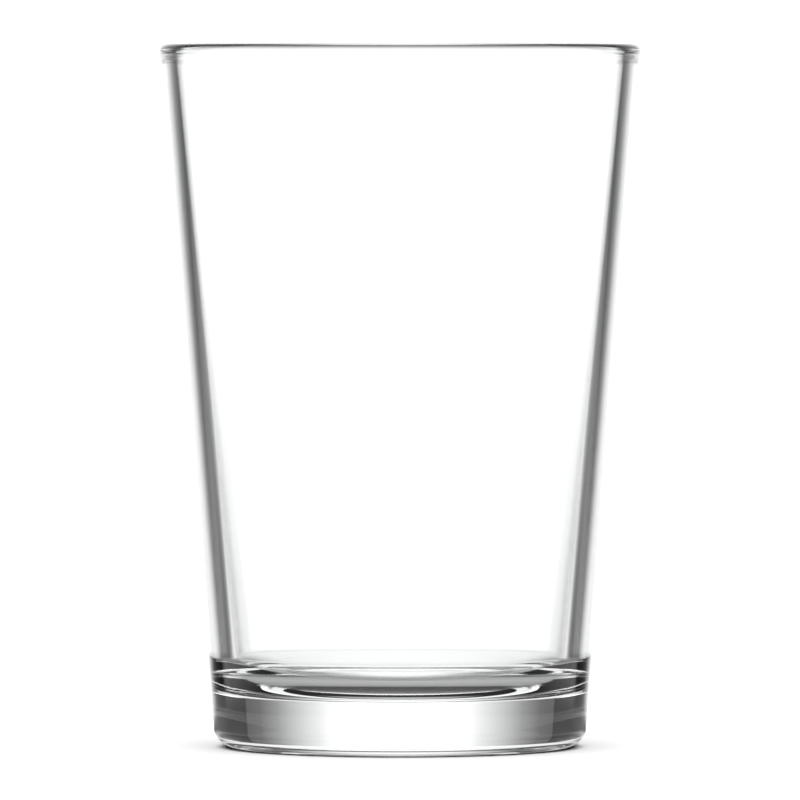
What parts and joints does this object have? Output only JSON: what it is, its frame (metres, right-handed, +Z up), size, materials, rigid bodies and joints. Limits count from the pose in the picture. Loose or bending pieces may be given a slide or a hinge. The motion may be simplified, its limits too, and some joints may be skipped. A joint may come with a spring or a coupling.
{
  "type": "pint glass",
  "caption": "Straight tapered pint tumbler in clear glass with a thick heavy base, shallow punt and rounded fire-polished rim.",
  "frame": {"origin": "centre of the circle that the glass stands on, at table height", "axes": "+Z up the glass's axis of symmetry, from the foot to the rim; the glass is round, so X and Y are any two directions square to it"},
  "size_m": [0.089, 0.089, 0.13],
  "materials": {
    "clear_glass": "pressed and fire-polished, smooth"
  },
  "bodies": {
    "root": {"tumbler": "clear_glass"}
  },
  "joints": []
}
